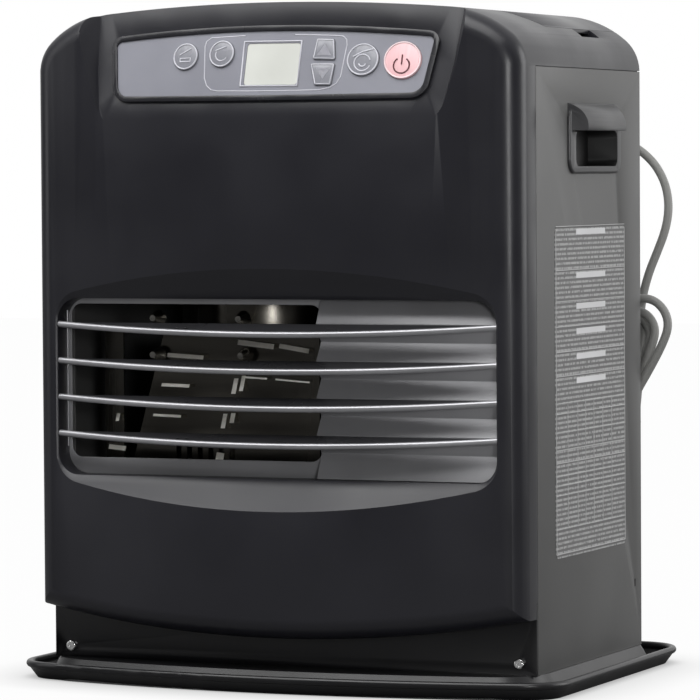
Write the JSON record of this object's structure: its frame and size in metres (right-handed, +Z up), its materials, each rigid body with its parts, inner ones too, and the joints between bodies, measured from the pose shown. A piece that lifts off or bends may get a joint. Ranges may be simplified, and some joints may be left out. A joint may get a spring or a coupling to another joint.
{
  "type": "fan-assisted paraffin heater",
  "caption": "Free-standing paraffin fan heater with drip tray, bowed front with louvred warm-air outlet, key panel, lidded fuel tank and rear fan",
  "frame": {"origin": "on the floor, at the middle of the drip tray's outline", "axes": "+Z up, front towards -Y, tank side towards +X"},
  "size_m": [0.371, 0.2992, 0.4278],
  "materials": {
    "tray_black": "satin powder coat",
    "cover_black": "satin moulded plastic",
    "side_grey": "satin paint",
    "steel": "bare zinc-coated sheet",
    "blade_silver": "satin metal",
    "outlet_grey": "satin paint",
    "stainless": "heat-toned stainless",
    "chrome": "bright",
    "fascia_grey": "satin print",
    "display": "pale display window",
    "key_grey": "light keys",
    "key_pink": "pink key",
    "black_plastic": "moulded plastic",
    "circuit": "circuit board",
    "ceramic": "white ceramic",
    "brass": "plain",
    "casting": "cast",
    "mesh_grey": "fine net",
    "label": "blank label",
    "cord_grey": "soft flexible sheath"
  },
  "bodies": {
    "cabinet": {"base_tray": "tray_black", "base_plate": "steel", "left_side_panel": "side_grey", "right_side_panel": "side_grey", "rear_panel": "side_grey", "front_cover": "cover_black", "foot_plate": "tray_black", "foot_plate_screws": "chrome", "rear_screws": "chrome", "lid_hinge_pins": "chrome", "control_bezel": "black_plastic", "control_fascia": "fascia_grey", "lcd_window": "display", "control_board": "circuit", "outlet_frame": "outlet_grey", "louvre_blade_1": "blade_silver", "louvre_blade_2": "blade_silver", "louvre_blade_3": "blade_silver", "louvre_blade_4": "blade_silver", "closing_sheet": "outlet_grey", "left_handle": "side_grey", "right_handle": "side_grey", "side_label": "label", "fan_shroud": "black_plastic", "fan_motor": "steel", "motor_bracket": "steel", "fuel_sump": "steel", "fuel_pump": "steel", "fuel_pipe": "brass", "burner_pot": "casting", "burner_head": "stainless", "combustion_chamber": "stainless", "heat_shield": "stainless", "igniter": "ceramic", "flame_sensor": "ceramic", "blower_housing": "steel", "blower_motor": "steel", "main_board": "circuit", "partition_plate": "steel", "cord_gland": "black_plastic", "cord_run": "cord_grey", "cord_hank": "cord_grey", "cord_tail": "cord_grey", "cord_tie": "black_plastic", "power_plug": "cord_grey"},
    "lid": {"tank_lid": "side_grey"},
    "tank": {"fuel_tank": "steel"},
    "cap": {"tank_cap": "black_plastic"},
    "valve": {"valve_pin": "brass"},
    "bail": {"tank_bail": "chrome"},
    "guard": {"fan_guard": "black_plastic", "air_filter": "mesh_grey"},
    "fan": {"room_fan": "black_plastic"},
    "blower": {"blower_wheel": "black_plastic"},
    "timer_key": {"timer_button": "key_grey"},
    "fan_key": {"fan_button": "key_grey"},
    "up_key": {"up_button": "key_grey"},
    "down_key": {"down_button": "key_grey"},
    "save_key": {"save_button": "key_grey"},
    "power_key": {"power_button": "key_pink"}
  },
  "joints": [
    {"name": "lid_hinge", "type": "hinge", "parent": "cabinet", "child": "lid", "pos_m": [0.026, 0.03, 0.42497], "axis": [0, -1, 0], "range_deg": [0, 95]},
    {"name": "tank_lift", "type": "slide", "parent": "cabinet", "child": "tank", "axis": [0, 0, 1], "range_m": [0, 0.06]},
    {"name": "cap_turn", "type": "hinge", "parent": "tank", "child": "cap", "pos_m": [0.093, 0.03, 0.05], "axis": [0, 0, 1], "range_deg": [0, 300]},
    {"name": "valve_slide", "type": "slide", "parent": "cap", "child": "valve", "axis": [0, 0, 1], "range_m": [0, 0.003], "stiffness_N_per_m": 200},
    {"name": "bail_swing", "type": "hinge", "parent": "tank", "child": "bail", "pos_m": [0.093, 0.03, 0.3845], "axis": [0, 1, 0], "range_deg": [0, 90]},
    {"name": "guard_pull", "type": "slide", "parent": "cabinet", "child": "guard", "axis": [0, 1, 0], "range_m": [0, 0.03]},
    {"name": "fan_spin", "type": "hinge", "parent": "cabinet", "child": "fan", "pos_m": [-0.06, 0.084, 0.235], "axis": [0, 1, 0], "continuous": true},
    {"name": "blower_spin", "type": "hinge", "parent": "cabinet", "child": "blower", "pos_m": [-0.11, 0.045, 0.03], "axis": [0, 0, 1], "continuous": true},
    {"name": "timer_press", "type": "slide", "parent": "cabinet", "child": "timer_key", "axis": [0, 0.9613, -0.2756], "range_m": [0, 0.0008], "stiffness_N_per_m": 600},
    {"name": "fan_press", "type": "slide", "parent": "cabinet", "child": "fan_key", "axis": [0, 0.9613, -0.2756], "range_m": [0, 0.0008], "stiffness_N_per_m": 600},
    {"name": "up_press", "type": "slide", "parent": "cabinet", "child": "up_key", "axis": [0, 0.9613, -0.2756], "range_m": [0, 0.0008], "stiffness_N_per_m": 600},
    {"name": "down_press", "type": "slide", "parent": "cabinet", "child": "down_key", "axis": [0, 0.9613, -0.2756], "range_m": [0, 0.0008], "stiffness_N_per_m": 600},
    {"name": "save_press", "type": "slide", "parent": "cabinet", "child": "save_key", "axis": [0, 0.9613, -0.2756], "range_m": [0, 0.0008], "stiffness_N_per_m": 600},
    {"name": "power_press", "type": "slide", "parent": "cabinet", "child": "power_key", "axis": [0, 0.9613, -0.2756], "range_m": [0, 0.0008], "stiffness_N_per_m": 600}
  ],
  "couplings": [
    {"joint": "tank_lift", "follows": "lid_hinge", "m_per_rad": 0.036}
  ]
}
